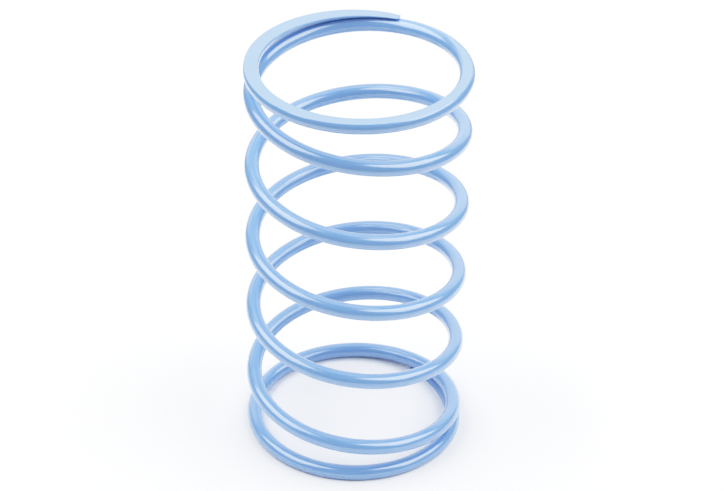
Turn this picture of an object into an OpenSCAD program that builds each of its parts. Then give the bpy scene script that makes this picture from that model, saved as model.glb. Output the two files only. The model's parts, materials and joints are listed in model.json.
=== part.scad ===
// Left-hand compression coil spring with closed and ground ends.
// One round wire, divided into lengths so that it can be compressed: a rigid end
// coil at each seat, and eighths of a turn between them that sink one after another.
// Millimetres. +Z runs up the coil's axis from the centre of the bottom seat.

/* [Wire] */
// Diameter of the wire
wire_d = 10; // [8:0.5:10.5]

/* [Coil] */
// Outer diameter of the coil
outer_d = 145; // [130:1:165]
// Height between the two ground seats with no load
free_length = 275; // [265:1:300]
// Turns of wire from tip to tip
total_turns = 6.96; // [6.9:0.01:7.1]
// Hand of the helix
winding = "left"; // [left, right]
// Direction of the top tip from the axis, anticlockwise from +X
top_tip_azimuth = 68; // [0:1:359]

/* [Ground ends] */
// Thickness left at each tip by the grinding
tip_thickness = 1.4; // [1:0.1:2]
// Angle of wire over which a tip eases back to the end coil's flat run
tip_arc = 150; // [120:5:180]
// Fall from the bottom tip to the flat run, in wire diameters
bottom_tip_fall = 0.76; // [0.76:0.01:0.85]
// Fall from the top tip to the flat run, in wire diameters
top_tip_fall = 0.56; // [0.56:0.01:0.65]
// Pitch of the bottom end coil's flat run, in wire diameters
bottom_creep = 0; // [0:0.05:0.2]
// Pitch of the top end coil's flat run, in wire diameters
top_creep = 0.25; // [0.25:0.05:0.4]
// Angle from the bottom tip where the pitch starts to grow
bottom_ramp_start = 265; // [250:5:265]
// Angle from the bottom tip where the pitch is full
bottom_ramp_end = 445; // [430:5:450]
// Angle from the top tip where the pitch starts to grow
top_ramp_start = 255; // [240:5:255]
// Angle from the top tip where the pitch is full
top_ramp_end = 500; // [480:5:505]

/* [Finish] */
// Colour of the paint
paint = "LightSkyBlue"; // [LightSkyBlue, LightBlue, PowderBlue, SteelBlue]

/* [Hidden] */
// Lengths that the active wire is divided into: 8 to a turn, 38 in all
lengths_per_turn = 8;
active_lengths = 38;

wire_r = wire_d / 2;
mean_r = outer_d / 2 - wire_r;
total_angle = 360 * total_turns;
length_angle = 360 / lengths_per_turn;
end_angle = (total_angle - active_lengths * length_angle) / 2;
hand = winding == "left" ? -1 : 1;

// Each end coil's shape in millimetres: fall from the tip, pitch, and ramp of the pitch
bottom_end = [bottom_tip_fall * wire_d, bottom_creep * wire_d, bottom_ramp_start, bottom_ramp_end];
top_end = [top_tip_fall * wire_d, top_creep * wire_d, top_ramp_start, top_ramp_end];
tip_overrun = wire_r - tip_thickness;

// Pitch of the active coils that makes the free length come out
function ramp_middle(end) = (end[2] + end[3]) / 2;
function end_share(end) = end[0] - tip_overrun + end[1] * ramp_middle(end) / 360;
pitch = 360 * (free_length - end_share(bottom_end) - end_share(top_end))
    / (total_angle - ramp_middle(bottom_end) - ramp_middle(top_end));

// Facets round the end coils' wire, and the angle between their rings
wire_sides = 24;
ring_step = 4;
// Extra arc that an eighth's tube has past each cut, and the reach of the cutting shapes
cut_margin = 4;
reach = 2 * outer_d;
$fn = 64;

function eighth_name(i) =
    str("coil_", floor(i / lengths_per_turn) + 1, "_eighth_", i % lengths_per_turn + 1);

// Angle at full pitch that is worth as much rise as the smooth ramp up to an angle
function ramp_gain(angle, start, end) =
    let (x = (angle - start) / (end - start))
    x < 0 ? 0 : (end - start) * (x < 1 ? pow(x, 3) - pow(x, 4) / 2 : x - 1 / 2);

// Distance of the wire's centre from the nearer seat, by angle from the tip
function seat_distance(angle, end) =
    let (u = min(angle / tip_arc, 1))
    end[0] * (2 * u - u * u) - tip_overrun
    + (end[1] * angle + (pitch - end[1]) * ramp_gain(angle, end[2], end[3])) / 360;

// Height of the wire's centre, by angle from the bottom tip
function wire_height(angle) = angle < total_angle / 2
    ? seat_distance(angle, bottom_end)
    : free_length - seat_distance(total_angle - angle, top_end);

// Direction of the wire from the axis, by angle from the bottom tip
function azimuth(angle) = top_tip_azimuth + hand * (angle - total_angle);

// Lean of the wire at one angle
function wire_lean(angle) =
    atan((wire_height(angle + 1) - wire_height(angle - 1)) * 180 / (2 * PI * mean_r));

// Ring of the wire's surface, in the upright plane through the axis
function wire_ring(angle) =
    let (half_height = wire_r / cos(wire_lean(angle)), direction = azimuth(angle))
    [for (k = [0 : wire_sides - 1])
        let (turn = 360 * k / wire_sides, r = mean_r + wire_r * cos(turn))
        [r * cos(direction), r * sin(direction), wire_height(angle) + half_height * sin(turn)]];

// A face turned inside out on a right-hand coil, which sweeps its rings the other way
function facing_out(face) = hand < 0 ? face : [for (k = [len(face) - 1 : -1 : 0]) face[k]];

// Wire swept between two angles, with upright end faces
module swept_wire(start, end) {
    steps = ceil((end - start) / ring_step);
    last_ring = steps * wire_sides;
    sides = [for (i = [0 : steps - 1], k = [0 : wire_sides - 1])
        let (a = i * wire_sides + k, b = i * wire_sides + (k + 1) % wire_sides)
        each [[a, b, b + wire_sides], [a, b + wire_sides, a + wire_sides]]];
    first_face = [for (k = [1 : wire_sides]) wire_sides - k];
    last_face = [for (k = [0 : wire_sides - 1]) last_ring + k];
    polyhedron(
        [for (i = [0 : steps]) each wire_ring(start + (end - start) * i / steps)],
        [for (face = concat(sides, [first_face, last_face])) facing_out(face)]);
}

// End coil whose ground seat is at z = 0
module bottom_end_coil() {
    color(paint)
        difference() {
            swept_wire(0, end_angle);
            translate([-reach / 2, -reach / 2, -reach])
                cube(reach);
        }
}

// End coil whose ground seat is at the free length
module top_end_coil() {
    color(paint)
        difference() {
            swept_wire(total_angle - end_angle, total_angle);
            translate([-reach / 2, -reach / 2, free_length])
                cube(reach);
        }
}

// One active eighth of a turn: a leaning arc of wire between two upright cuts
module active_eighth(i) {
    start = end_angle + i * length_angle;
    end = start + length_angle;
    half = length_angle / 2;
    lean = hand * atan((wire_height(end) - wire_height(start)) / (2 * mean_r * sin(half)));
    color(paint)
        translate([0, 0, (wire_height(start) + wire_height(end)) / 2])
            rotate(azimuth(start + half))
                intersection() {
                    rotate([lean, 0, 0])
                        rotate(-half - cut_margin)
                            rotate_extrude(angle = length_angle + 2 * cut_margin)
                                translate([mean_r, 0])
                                    circle(wire_r);
                    translate([0, 0, -reach / 2])
                        linear_extrude(height = reach)
                            polygon(reach * [[0, 0], [cos(half), -sin(half)], [cos(half), sin(half)]]);
                }
}

bottom_end_coil();
for (i = [0 : active_lengths - 1]) active_eighth(i);
top_end_coil();
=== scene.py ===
# Left-hand coil spring with closed and ground ends, in light blue gloss powder coat.
# The imported model holds a rigid end coil at each seat and 38 eighths of a turn between them.
# Here the wire is one smooth painted surface. Each end coil rides on its own body.
import json
import math

import bpy
from mathutils import Matrix, Vector


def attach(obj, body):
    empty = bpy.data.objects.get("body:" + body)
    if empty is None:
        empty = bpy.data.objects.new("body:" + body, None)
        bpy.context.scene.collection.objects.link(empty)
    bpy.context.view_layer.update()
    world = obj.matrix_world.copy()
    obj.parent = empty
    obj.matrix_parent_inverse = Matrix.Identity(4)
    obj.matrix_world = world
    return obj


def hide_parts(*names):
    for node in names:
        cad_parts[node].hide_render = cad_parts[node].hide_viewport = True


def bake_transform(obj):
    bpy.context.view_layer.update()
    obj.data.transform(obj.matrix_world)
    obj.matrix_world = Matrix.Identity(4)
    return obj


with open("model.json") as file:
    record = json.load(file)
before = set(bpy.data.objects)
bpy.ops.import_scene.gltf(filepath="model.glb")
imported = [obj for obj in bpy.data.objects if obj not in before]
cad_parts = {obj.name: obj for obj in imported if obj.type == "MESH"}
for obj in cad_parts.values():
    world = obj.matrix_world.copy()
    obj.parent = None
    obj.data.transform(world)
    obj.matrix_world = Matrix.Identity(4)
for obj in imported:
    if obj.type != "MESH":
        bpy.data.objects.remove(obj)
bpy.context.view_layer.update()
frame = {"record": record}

# The spring's driving dimensions, in metres and degrees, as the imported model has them
WIRE_R = 0.005
MEAN_R = 0.0675
FREE_LENGTH = 0.275
TOTAL_ANGLE = 360 * 6.96
TOP_TIP_AZIMUTH = 68
HAND = -1
TIP_THICKNESS = 0.0014
TIP_ARC = 150

# Each end coil: fall from the tip, pitch of its flat run, start and end of the pitch's ramp
BOTTOM_END = (0.0076, 0.0, 265, 445)
TOP_END = (0.0056, 0.0025, 255, 500)

# The active wire is divided into lengths of an eighth of a turn, each a body of the frame
LENGTHS_PER_TURN = 8
ACTIVE_LENGTHS = len(frame["record"]["behaviour"]["bodies"]) - 2
LENGTH_ANGLE = 360 / LENGTHS_PER_TURN
END_ANGLE = (TOTAL_ANGLE - ACTIVE_LENGTHS * LENGTH_ANGLE) / 2

# Painted edges: radius of the ground faces' edge, and of the cut face's at each tip
SEAT_EDGE_R = 0.0004
TIP_EDGE_R = 0.0003

# Mesh density: angle between rings along the wire, and points round each part of a ring
RING_STEP = 1.25
FLAT_SPANS = 8
EDGE_SPANS = 4
ROUND_SPANS = 44
NARROWEST_FLAT = math.radians(10)
TIP_EDGE_RINGS = 4

# Small angles along the wire, in degrees, over which its lean and its surface's run are measured
LEAN_STEP = 1
RUN_STEP = 0.01

# A point of the wire's surface counts as ground where this much of its direction is to the seat
FACES_SEAT = 0.999

# Each cut end goes on this far inside its neighbour, and is this much thinner there
TUCK_LENGTH = 0.001
TUCK_DEPTH = 0.0002

# Paint: the two base colours that mottle together, on the round wire and on the ground faces
ROUND_TONES = ((0.172, 0.344, 0.678), (0.186, 0.360, 0.704))
# The ground faces' tones are paler than the wire's as painted light: the brighter look that the lamps
# give the flats, put into their colour
GROUND_TONES_WITH_PAINTED_LIGHT = ((0.242, 0.392, 0.640), (0.254, 0.406, 0.662))

# Paint: lowest and highest roughness, under the clear top layer
ROUND_ROUGHNESS = (0.20, 0.28)
GROUND_ROUGHNESS = (0.34, 0.42)

# Paint: refractive indices, and the roughness of the clear top layer
PAINT_IOR = 1.6
COAT_IOR = 1.8
COAT_ROUGHNESS = 0.15

# Paint: noises as cycles per metre and layers of detail. The two tones blend between two levels
# of the mottle, and the grinding lay is fine along Y and long along X and Z
MOTTLE = (60, 3)
MOTTLE_LEVELS = (0.3, 0.7)
ORANGE_PEEL = (420, 1)
GRINDING_LAY = (6, 2)
LAY_FINENESS = (4, 300, 4)

# Paint: depth of the bumps in metres, and the strength of each
BUMP_DEPTH = 0.00005
PEEL_STRENGTH = 0.08
LAY_STRENGTH = 0.12

# Floor: its radius, its gap below the spring, and its tone
FLOOR_R = 0.8
FLOOR_GAP = 0.0001
FLOOR_RIM_STEP = 5
FLOOR_TONE = 0.95
FLOOR_ROUGHNESS = 0.9

# Softboxes: name, azimuth and elevation in degrees, width and height in metres, and watts
SOFTBOXES = (
    ("left_softbox", 184, 53, 2.0, 1.6, 30),
    ("right_softbox", 354, 50, 2.0, 1.7, 33),
    ("top_softbox", 90, 72, 2.0, 1.6, 10),
    ("back_softbox", 90, 20, 3.6, 1.6, 13),
)
LAMP_DISTANCE = 2.0

# The dim light from all round, and the light that shows as white
SURROUND_LIGHT = 0.37
WHITE_LEVEL = 1.35

# The tones' curve: light, and the level that it's shown at
TONE_CURVE = ((0.2, 0.195), (0.35, 0.37), (0.5, 0.53), (0.8, 0.765), (1.0, 0.865), (1.2, 0.945))

# Camera: lens and sensor in millimetres, place in metres and degrees from the middle of the top
# seat, and its turn to the right, downwards and about its own axis in degrees
LENS = 122.7
SENSOR_WIDTH = 36
CAMERA_DISTANCE = 1.538
CAMERA_ELEVATION = 30
CAMERA_PAN = 0.16
CAMERA_TILT = 34.18
CAMERA_ROLL = 1.0


# ---- The wire's path ----

def ramp_gain(angle, start, end):
    """Angle at full pitch that is worth as much rise as the smooth ramp up to an angle."""
    x = (angle - start) / (end - start)
    if x < 0:
        return 0
    return (end - start) * (x ** 3 - x ** 4 / 2 if x < 1 else x - 1 / 2)


def end_share(end):
    """Height that an end coil takes up apart from the active coils' pitch."""
    fall, creep, ramp_start, ramp_end = end
    return fall - (WIRE_R - TIP_THICKNESS) + creep * (ramp_start + ramp_end) / 2 / 360


def active_pitch():
    """Pitch of the active coils that makes the free length come out."""
    ramp_middles = (sum(BOTTOM_END[2:]) + sum(TOP_END[2:])) / 2
    rise = FREE_LENGTH - end_share(BOTTOM_END) - end_share(TOP_END)
    return 360 * rise / (TOTAL_ANGLE - ramp_middles)


PITCH = active_pitch()


def seat_distance(angle, end):
    """Distance of the wire's centre from the nearer seat, by angle from that end's tip."""
    fall, creep, ramp_start, ramp_end = end
    u = min(angle / TIP_ARC, 1)
    climb = creep * angle + (PITCH - creep) * ramp_gain(angle, ramp_start, ramp_end)
    return fall * (2 * u - u * u) - (WIRE_R - TIP_THICKNESS) + climb / 360


def wire_height(angle):
    """Height of the wire's centre, by angle from the bottom tip."""
    if angle < TOTAL_ANGLE / 2:
        return seat_distance(angle, BOTTOM_END)
    return FREE_LENGTH - seat_distance(TOTAL_ANGLE - angle, TOP_END)


def azimuth(angle):
    """Direction of the wire from the axis in radians, by angle from the bottom tip."""
    return math.radians(TOP_TIP_AZIMUTH + HAND * (angle - TOTAL_ANGLE))


def wire_slope(angle):
    """Tangent of the wire's lean."""
    rise = wire_height(angle + LEAN_STEP) - wire_height(angle - LEAN_STEP)
    return rise / (2 * math.radians(LEAN_STEP) * MEAN_R)


# ---- The wire's section ----

def arc_points(centre_x, centre_y, radius, start, end, spans):
    """Points of an arc with their outward directions, by angle from the seat's side."""
    turns = [start + (end - start) * i / spans for i in range(spans)]
    return [
        (centre_x + radius * math.sin(t), centre_y + radius * math.cos(t), math.sin(t), math.cos(t))
        for t in turns
    ]


def wire_outline(cut):
    """Outline of the wire where a seat is ground across it, at a distance from its centre.

    Each point is (across, towards the seat) and its outward direction. The flat comes first, then
    its rounded edge, the round of the wire, and the other edge. Where nothing is ground off, the
    flat's points lie on the round."""
    kept = min(cut, SEAT_EDGE_R + (WIRE_R - SEAT_EDGE_R) * math.cos(NARROWEST_FLAT))
    edge_y = kept - SEAT_EDGE_R
    edge_x = math.sqrt((WIRE_R - SEAT_EDGE_R) ** 2 - edge_y ** 2)
    corner = math.atan2(edge_x, edge_y)
    points = [(edge_x * (2 * i / FLAT_SPANS - 1), kept, 0, 1) for i in range(FLAT_SPANS)]
    points += arc_points(edge_x, edge_y, SEAT_EDGE_R, 0, corner, EDGE_SPANS)
    points += arc_points(0, 0, WIRE_R, corner, 2 * math.pi - corner, ROUND_SPANS)
    points += arc_points(-edge_x, edge_y, SEAT_EDGE_R, 2 * math.pi - corner, 2 * math.pi, EDGE_SPANS)
    return [settled(point, cut - kept) for point in points]


def settled(point, lift):
    """A point of the outline lifted with a fading flat, but no further than the round wire."""
    x, y, across, towards = point
    if lift <= 0 or y <= 0:
        return point
    on_round = math.sqrt(max(WIRE_R ** 2 - x * x, 0))
    if y + lift >= on_round:
        return (x, on_round, x / WIRE_R, on_round / WIRE_R)
    return (x, y + lift, across, towards)


def seat_cut(angle, seat_side):
    """How far from the wire's centre its seat cuts the outline."""
    gap = FREE_LENGTH - wire_height(angle) if seat_side > 0 else wire_height(angle)
    return gap / math.hypot(1, wire_slope(angle))


def radial_direction(angle):
    """Level direction from the axis to the wire."""
    direction = azimuth(angle)
    return Vector((math.cos(direction), math.sin(direction), 0))


def upright_direction(angle):
    """Upright direction, as much longer than 1 as the wire's lean makes its upright section."""
    return Vector((0, 0, math.hypot(1, wire_slope(angle))))


def placed(angle, outline, seat_side):
    """Puts an outline in the upright plane through the axis at an angle along the wire."""
    radial = radial_direction(angle)
    upright = upright_direction(angle)
    centre = radial * MEAN_R + Vector((0, 0, wire_height(angle)))
    return [centre + seat_side * (radial * x + upright * y) for x, y, _, _ in outline]


def wire_ring(angle, seat_side, tip_turn=0, tip_side=0):
    """Points, outward normals and ground mask of one ring of the wire.

    seat_side is 1 where the nearer seat is above, and -1 where it is below. tip_turn is how far
    round a tip's rounded edge the ring lies, from 0 on the side of the wire to a quarter turn on
    its end face. tip_side is 1 where that face looks on along the wire, and -1 where it looks back."""
    outline = wire_outline(seat_cut(angle, seat_side))
    nearby = (angle - RUN_STEP, angle + RUN_STEP)
    behind, ahead = [placed(a, wire_outline(seat_cut(a, seat_side)), seat_side) for a in nearby]
    inset = TIP_EDGE_R * (1 - math.cos(tip_turn))
    shrunk = [
        (x - across * inset, y - towards * inset, across, towards)
        for x, y, across, towards in outline
    ]
    radial = radial_direction(angle)
    upright = upright_direction(angle)
    normals = []
    for (_, _, across, towards), before, after in zip(outline, behind, ahead):
        along = (after - before).normalized()
        side = along.cross(seat_side * (radial * towards - upright * across)).normalized()
        normals.append(side * math.cos(tip_turn) + along * tip_side * math.sin(tip_turn))
    is_cut = seat_cut(angle, seat_side) < WIRE_R
    ground = [float(is_cut and towards > FACES_SEAT) for _, _, _, towards in outline]
    return placed(angle, shrunk, seat_side), normals, ground


def tucked_ring(angle, seat_side, onwards):
    """A thinner ring just past a cut, which lies inside the neighbouring length.

    It closes the joint between the two neighbours."""
    past = angle + onwards * math.degrees(TUCK_LENGTH / MEAN_R)
    points, normals, ground = wire_ring(past, seat_side)
    thinner = [point - normal * TUCK_DEPTH for point, normal in zip(points, normals)]
    return thinner, normals, ground


# ---- Meshes ----

def wire_piece(name, rings):
    """A closed smooth mesh through rings of as many points each, with the wire's own normals."""
    sides = len(rings[0][0])
    last = (len(rings) - 1) * sides
    points = [point for ring in rings for point in ring[0]]
    normals = [normal for ring in rings for normal in ring[1]]
    faces = []
    for first in range(0, last, sides):
        for k in range(sides):
            a = first + k
            b = first + (k + 1) % sides
            faces.append((a, a + sides, b + sides, b))
    caps = [tuple(range(sides)), tuple(reversed(range(last, last + sides)))]
    mesh = bpy.data.meshes.new(name)
    mesh.from_pydata(points, [], faces + caps)
    mesh.shade_smooth()
    mesh.normals_split_custom_set_from_vertices(normals)
    ground = mesh.attributes.new("ground", "FLOAT", "POINT")
    ground.data.foreach_set("value", [mask for ring in rings for mask in ring[2]])
    rest_place = mesh.attributes.new("rest_place", "FLOAT_VECTOR", "POINT")
    rest_place.data.foreach_set("vector", [value for point in points for value in point])
    mesh.materials.append(blue_paint)
    piece = bpy.data.objects.new(name, mesh)
    bpy.context.scene.collection.objects.link(piece)
    return piece


def angles_between(start, end):
    """Evenly spaced angles from start to end, about RING_STEP apart."""
    steps = round((end - start) / RING_STEP)
    return [start + (end - start) * i / steps for i in range(steps + 1)]


def tip_rings(tip, seat_side, inwards):
    """Rings over a tip's rounded edge, from its end face to the side of the wire."""
    rings = []
    for i in range(TIP_EDGE_RINGS):
        turn = math.pi / 2 * (1 - i / TIP_EDGE_RINGS)
        back = math.degrees(TIP_EDGE_R * (1 - math.sin(turn)) / MEAN_R)
        rings.append(wire_ring(tip + inwards * back, seat_side, turn, -inwards))
    return rings


def bottom_coil():
    """The end coil on the bottom seat, from its tip to the first active length."""
    edge = math.degrees(TIP_EDGE_R / MEAN_R)
    rings = tip_rings(0, -1, 1)
    rings += [wire_ring(angle, -1) for angle in angles_between(edge, END_ANGLE)]
    rings.append(tucked_ring(END_ANGLE, -1, 1))
    piece = wire_piece("bottom_end_coil_wire", rings)
    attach(piece, "bottom_end_coil")
    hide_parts("bottom_end_coil")


def top_coil():
    """The end coil under the top seat, from the last active length to its tip."""
    edge = math.degrees(TIP_EDGE_R / MEAN_R)
    start = TOTAL_ANGLE - END_ANGLE
    rings = [tucked_ring(start, 1, -1)]
    rings += [wire_ring(angle, 1) for angle in angles_between(start, TOTAL_ANGLE - edge)]
    rings += reversed(tip_rings(TOTAL_ANGLE, 1, -1))
    piece = wire_piece("top_end_coil_wire", rings)
    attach(piece, "top_end_coil")
    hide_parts("top_end_coil")


def eighth_name(i):
    """Name of the body and node of one active length."""
    return f"coil_{i // LENGTHS_PER_TURN + 1}_eighth_{i % LENGTHS_PER_TURN + 1}"


def active_length(i):
    """One eighth of a turn of the active wire, between the two end coils."""
    start = END_ANGLE + i * LENGTH_ANGLE
    middle = start + LENGTH_ANGLE / 2
    seat_side = -1 if middle < TOTAL_ANGLE / 2 else 1
    end = start + LENGTH_ANGLE
    rings = [tucked_ring(start, seat_side, -1)]
    rings += [wire_ring(angle, seat_side) for angle in angles_between(start, end)]
    rings.append(tucked_ring(end, seat_side, 1))
    piece = wire_piece(eighth_name(i) + "_wire", rings)
    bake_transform(piece)
    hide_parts(eighth_name(i))


# ---- Material ----

def noise(nodes, link, place, scale_and_detail):
    """A noise texture, with its scale in cycles per metre."""
    scale, detail = scale_and_detail
    texture = nodes.new("ShaderNodeTexNoise")
    texture.inputs["Scale"].default_value = scale
    texture.inputs["Detail"].default_value = detail
    link(place, texture.inputs["Vector"])
    return texture.outputs["Fac"]


def ranged(nodes, link, value, limits):
    """A value from 0 to 1 spread from the lower limit to the upper one."""
    low, high = limits
    spread = nodes.new("ShaderNodeMapRange")
    spread.inputs["To Min"].default_value = low
    spread.inputs["To Max"].default_value = high
    link(value, spread.inputs["Value"])
    return spread.outputs["Result"]


def tones(nodes, link, value, colours):
    """Two close colours blended by a noise."""
    ramp = nodes.new("ShaderNodeValToRGB")
    for stop, level, colour in zip(ramp.color_ramp.elements, MOTTLE_LEVELS, colours):
        stop.position = level
        stop.color = (*colour, 1)
    link(value, ramp.inputs["Fac"])
    return ramp.outputs["Color"]


def blended(nodes, link, mask, here, there):
    """One of two colours, or of two values: the first where a mask is 0, the second where it is 1."""
    mix = nodes.new("ShaderNodeMix")
    mix.data_type = "RGBA" if here.type == "RGBA" else "FLOAT"
    link(mask, mix.inputs["Factor"])
    shown = {socket.name: socket for socket in mix.inputs if socket.type == here.type}
    link(here, shown["A"])
    link(there, shown["B"])
    return next(socket for socket in mix.outputs if socket.type == here.type)


def bumped(nodes, link, height):
    """A bump node that a height drives."""
    bump = nodes.new("ShaderNodeBump")
    bump.inputs["Distance"].default_value = BUMP_DEPTH
    link(height, bump.inputs["Height"])
    return bump


def paint_material():
    """Light blue gloss powder coat: fine orange peel, and a faint grinding lay on the ground faces."""
    material = bpy.data.materials.new("blue_powder_coat")
    material.use_nodes = True
    nodes = material.node_tree.nodes
    link = material.node_tree.links.new
    shader = nodes["Principled BSDF"]
    shader.inputs["IOR"].default_value = PAINT_IOR
    shader.inputs["Coat Weight"].default_value = 1.0
    shader.inputs["Coat Roughness"].default_value = COAT_ROUGHNESS
    shader.inputs["Coat IOR"].default_value = COAT_IOR

    rest_place = nodes.new("ShaderNodeAttribute")
    rest_place.attribute_name = "rest_place"
    place = rest_place.outputs["Vector"]
    ground = nodes.new("ShaderNodeAttribute")
    ground.attribute_name = "ground"
    mask = ground.outputs["Fac"]

    mottle = noise(nodes, link, place, MOTTLE)
    round_tone = tones(nodes, link, mottle, ROUND_TONES)
    # Painted light: the ground faces take paler tones for the brightness that the lamps give the flats
    ground_tone_with_painted_light = tones(nodes, link, mottle, GROUND_TONES_WITH_PAINTED_LIGHT)
    link(blended(nodes, link, mask, round_tone, ground_tone_with_painted_light), shader.inputs["Base Color"])

    round_finish = ranged(nodes, link, mottle, ROUND_ROUGHNESS)
    ground_finish = ranged(nodes, link, mottle, GROUND_ROUGHNESS)
    link(blended(nodes, link, mask, round_finish, ground_finish), shader.inputs["Roughness"])

    peel = bumped(nodes, link, noise(nodes, link, place, ORANGE_PEEL))
    peel.inputs["Strength"].default_value = PEEL_STRENGTH
    finer = nodes.new("ShaderNodeMapping")
    finer.inputs["Scale"].default_value = LAY_FINENESS
    link(place, finer.inputs["Vector"])
    lay = bumped(nodes, link, noise(nodes, link, finer.outputs["Vector"], GRINDING_LAY))
    link(ranged(nodes, link, mask, (0, LAY_STRENGTH)), lay.inputs["Strength"])
    link(peel.outputs["Normal"], lay.inputs["Normal"])
    link(lay.outputs["Normal"], shader.inputs["Normal"])
    link(lay.outputs["Normal"], shader.inputs["Coat Normal"])
    return material


blue_paint = paint_material()
bottom_coil()
for length in range(ACTIVE_LENGTHS):
    active_length(length)
top_coil()


# ---- Floor, light and camera ----

def pale_floor():
    """A round near-white floor, lit up to its edge, where the camera's white surround takes over.

    It lies a hair below the spring, so that their faces don't share a plane."""
    mesh = bpy.data.meshes.new("floor")
    turns = [math.radians(turn) for turn in range(0, 360, FLOOR_RIM_STEP)]
    rim = [(FLOOR_R * math.cos(turn), FLOOR_R * math.sin(turn), -FLOOR_GAP) for turn in turns]
    mesh.from_pydata(rim, [], [tuple(range(len(rim)))])
    material = bpy.data.materials.new("floor_white")
    material.use_nodes = True
    shader = material.node_tree.nodes["Principled BSDF"]
    shader.inputs["Base Color"].default_value = (FLOOR_TONE, FLOOR_TONE, FLOOR_TONE, 1)
    shader.inputs["Roughness"].default_value = FLOOR_ROUGHNESS
    mesh.materials.append(material)
    floor = bpy.data.objects.new("floor", mesh)
    bpy.context.scene.collection.objects.link(floor)


def outwards(azimuth_deg, elevation_deg):
    """Direction from the spring at an azimuth and an elevation."""
    turn = math.radians(azimuth_deg)
    lift = math.radians(elevation_deg)
    level = math.cos(lift)
    return Vector((math.cos(turn) * level, math.sin(turn) * level, math.sin(lift)))


def softbox(name, azimuth_deg, elevation_deg, width, height, power):
    """A soft rectangular light, out of the camera's sight, that looks at the middle of the spring."""
    light = bpy.data.lights.new(name, "AREA")
    light.shape = "RECTANGLE"
    light.size = width
    light.size_y = height
    light.energy = power
    lamp = bpy.data.objects.new(name, light)
    direction = outwards(azimuth_deg, elevation_deg)
    lamp.location = Vector((0, 0, FREE_LENGTH / 2)) + direction * LAMP_DISTANCE
    lamp.rotation_euler = direction.to_track_quat("Z", "Y").to_euler()
    lamp.visible_camera = False
    bpy.context.scene.collection.objects.link(lamp)


def photo_camera():
    """The camera: in front, above the top seat and looking down through the coils."""
    camera = bpy.data.cameras.new("camera")
    camera.sensor_width = SENSOR_WIDTH
    camera.lens = LENS
    eye = bpy.data.objects.new("camera", camera)
    lift = math.radians(CAMERA_ELEVATION)
    level = CAMERA_DISTANCE * math.cos(lift)
    eye.location = (0, -level, FREE_LENGTH + CAMERA_DISTANCE * math.sin(lift))
    pan = Matrix.Rotation(-math.radians(CAMERA_PAN), 3, "Z")
    tilt = Matrix.Rotation(math.pi / 2 - math.radians(CAMERA_TILT), 3, "X")
    roll = Matrix.Rotation(math.radians(CAMERA_ROLL), 3, "Z")
    eye.rotation_euler = (pan @ tilt @ roll).to_euler()
    bpy.context.scene.collection.objects.link(eye)
    bpy.context.scene.camera = eye


def dim_surround():
    """A surround that lights the spring only dimly, and that the camera sees as white."""
    world = bpy.data.worlds.new("surround")
    world.use_nodes = True
    nodes = world.node_tree.nodes
    link = world.node_tree.links.new
    dim = nodes["Background"]
    dim.inputs["Color"].default_value = (1, 1, 1, 1)
    dim.inputs["Strength"].default_value = SURROUND_LIGHT
    seen = nodes.new("ShaderNodeBackground")
    seen.inputs["Color"].default_value = (1, 1, 1, 1)
    seen.inputs["Strength"].default_value = WHITE_LEVEL
    path = nodes.new("ShaderNodeLightPath")
    either = nodes.new("ShaderNodeMixShader")
    link(path.outputs["Is Camera Ray"], either.inputs["Fac"])
    link(dim.outputs["Background"], either.inputs[1])
    link(seen.outputs["Background"], either.inputs[2])
    link(either.outputs["Shader"], nodes["World Output"].inputs["Surface"])
    bpy.context.scene.world = world


def print_tones():
    """Middle tones lift a little and bright ones roll off gently towards white, as in a print."""
    view = bpy.context.scene.view_settings
    view.view_transform = "Standard"
    view.use_curve_mapping = True
    mapping = view.curve_mapping
    mapping.white_level = (WHITE_LEVEL, WHITE_LEVEL, WHITE_LEVEL)
    curve = mapping.curves[3]
    for light_level, shown in TONE_CURVE:
        curve.points.new(light_level / WHITE_LEVEL, shown)
    mapping.update()


pale_floor()
dim_surround()
print_tones()
for lamp_values in SOFTBOXES:
    softbox(*lamp_values)
photo_camera()
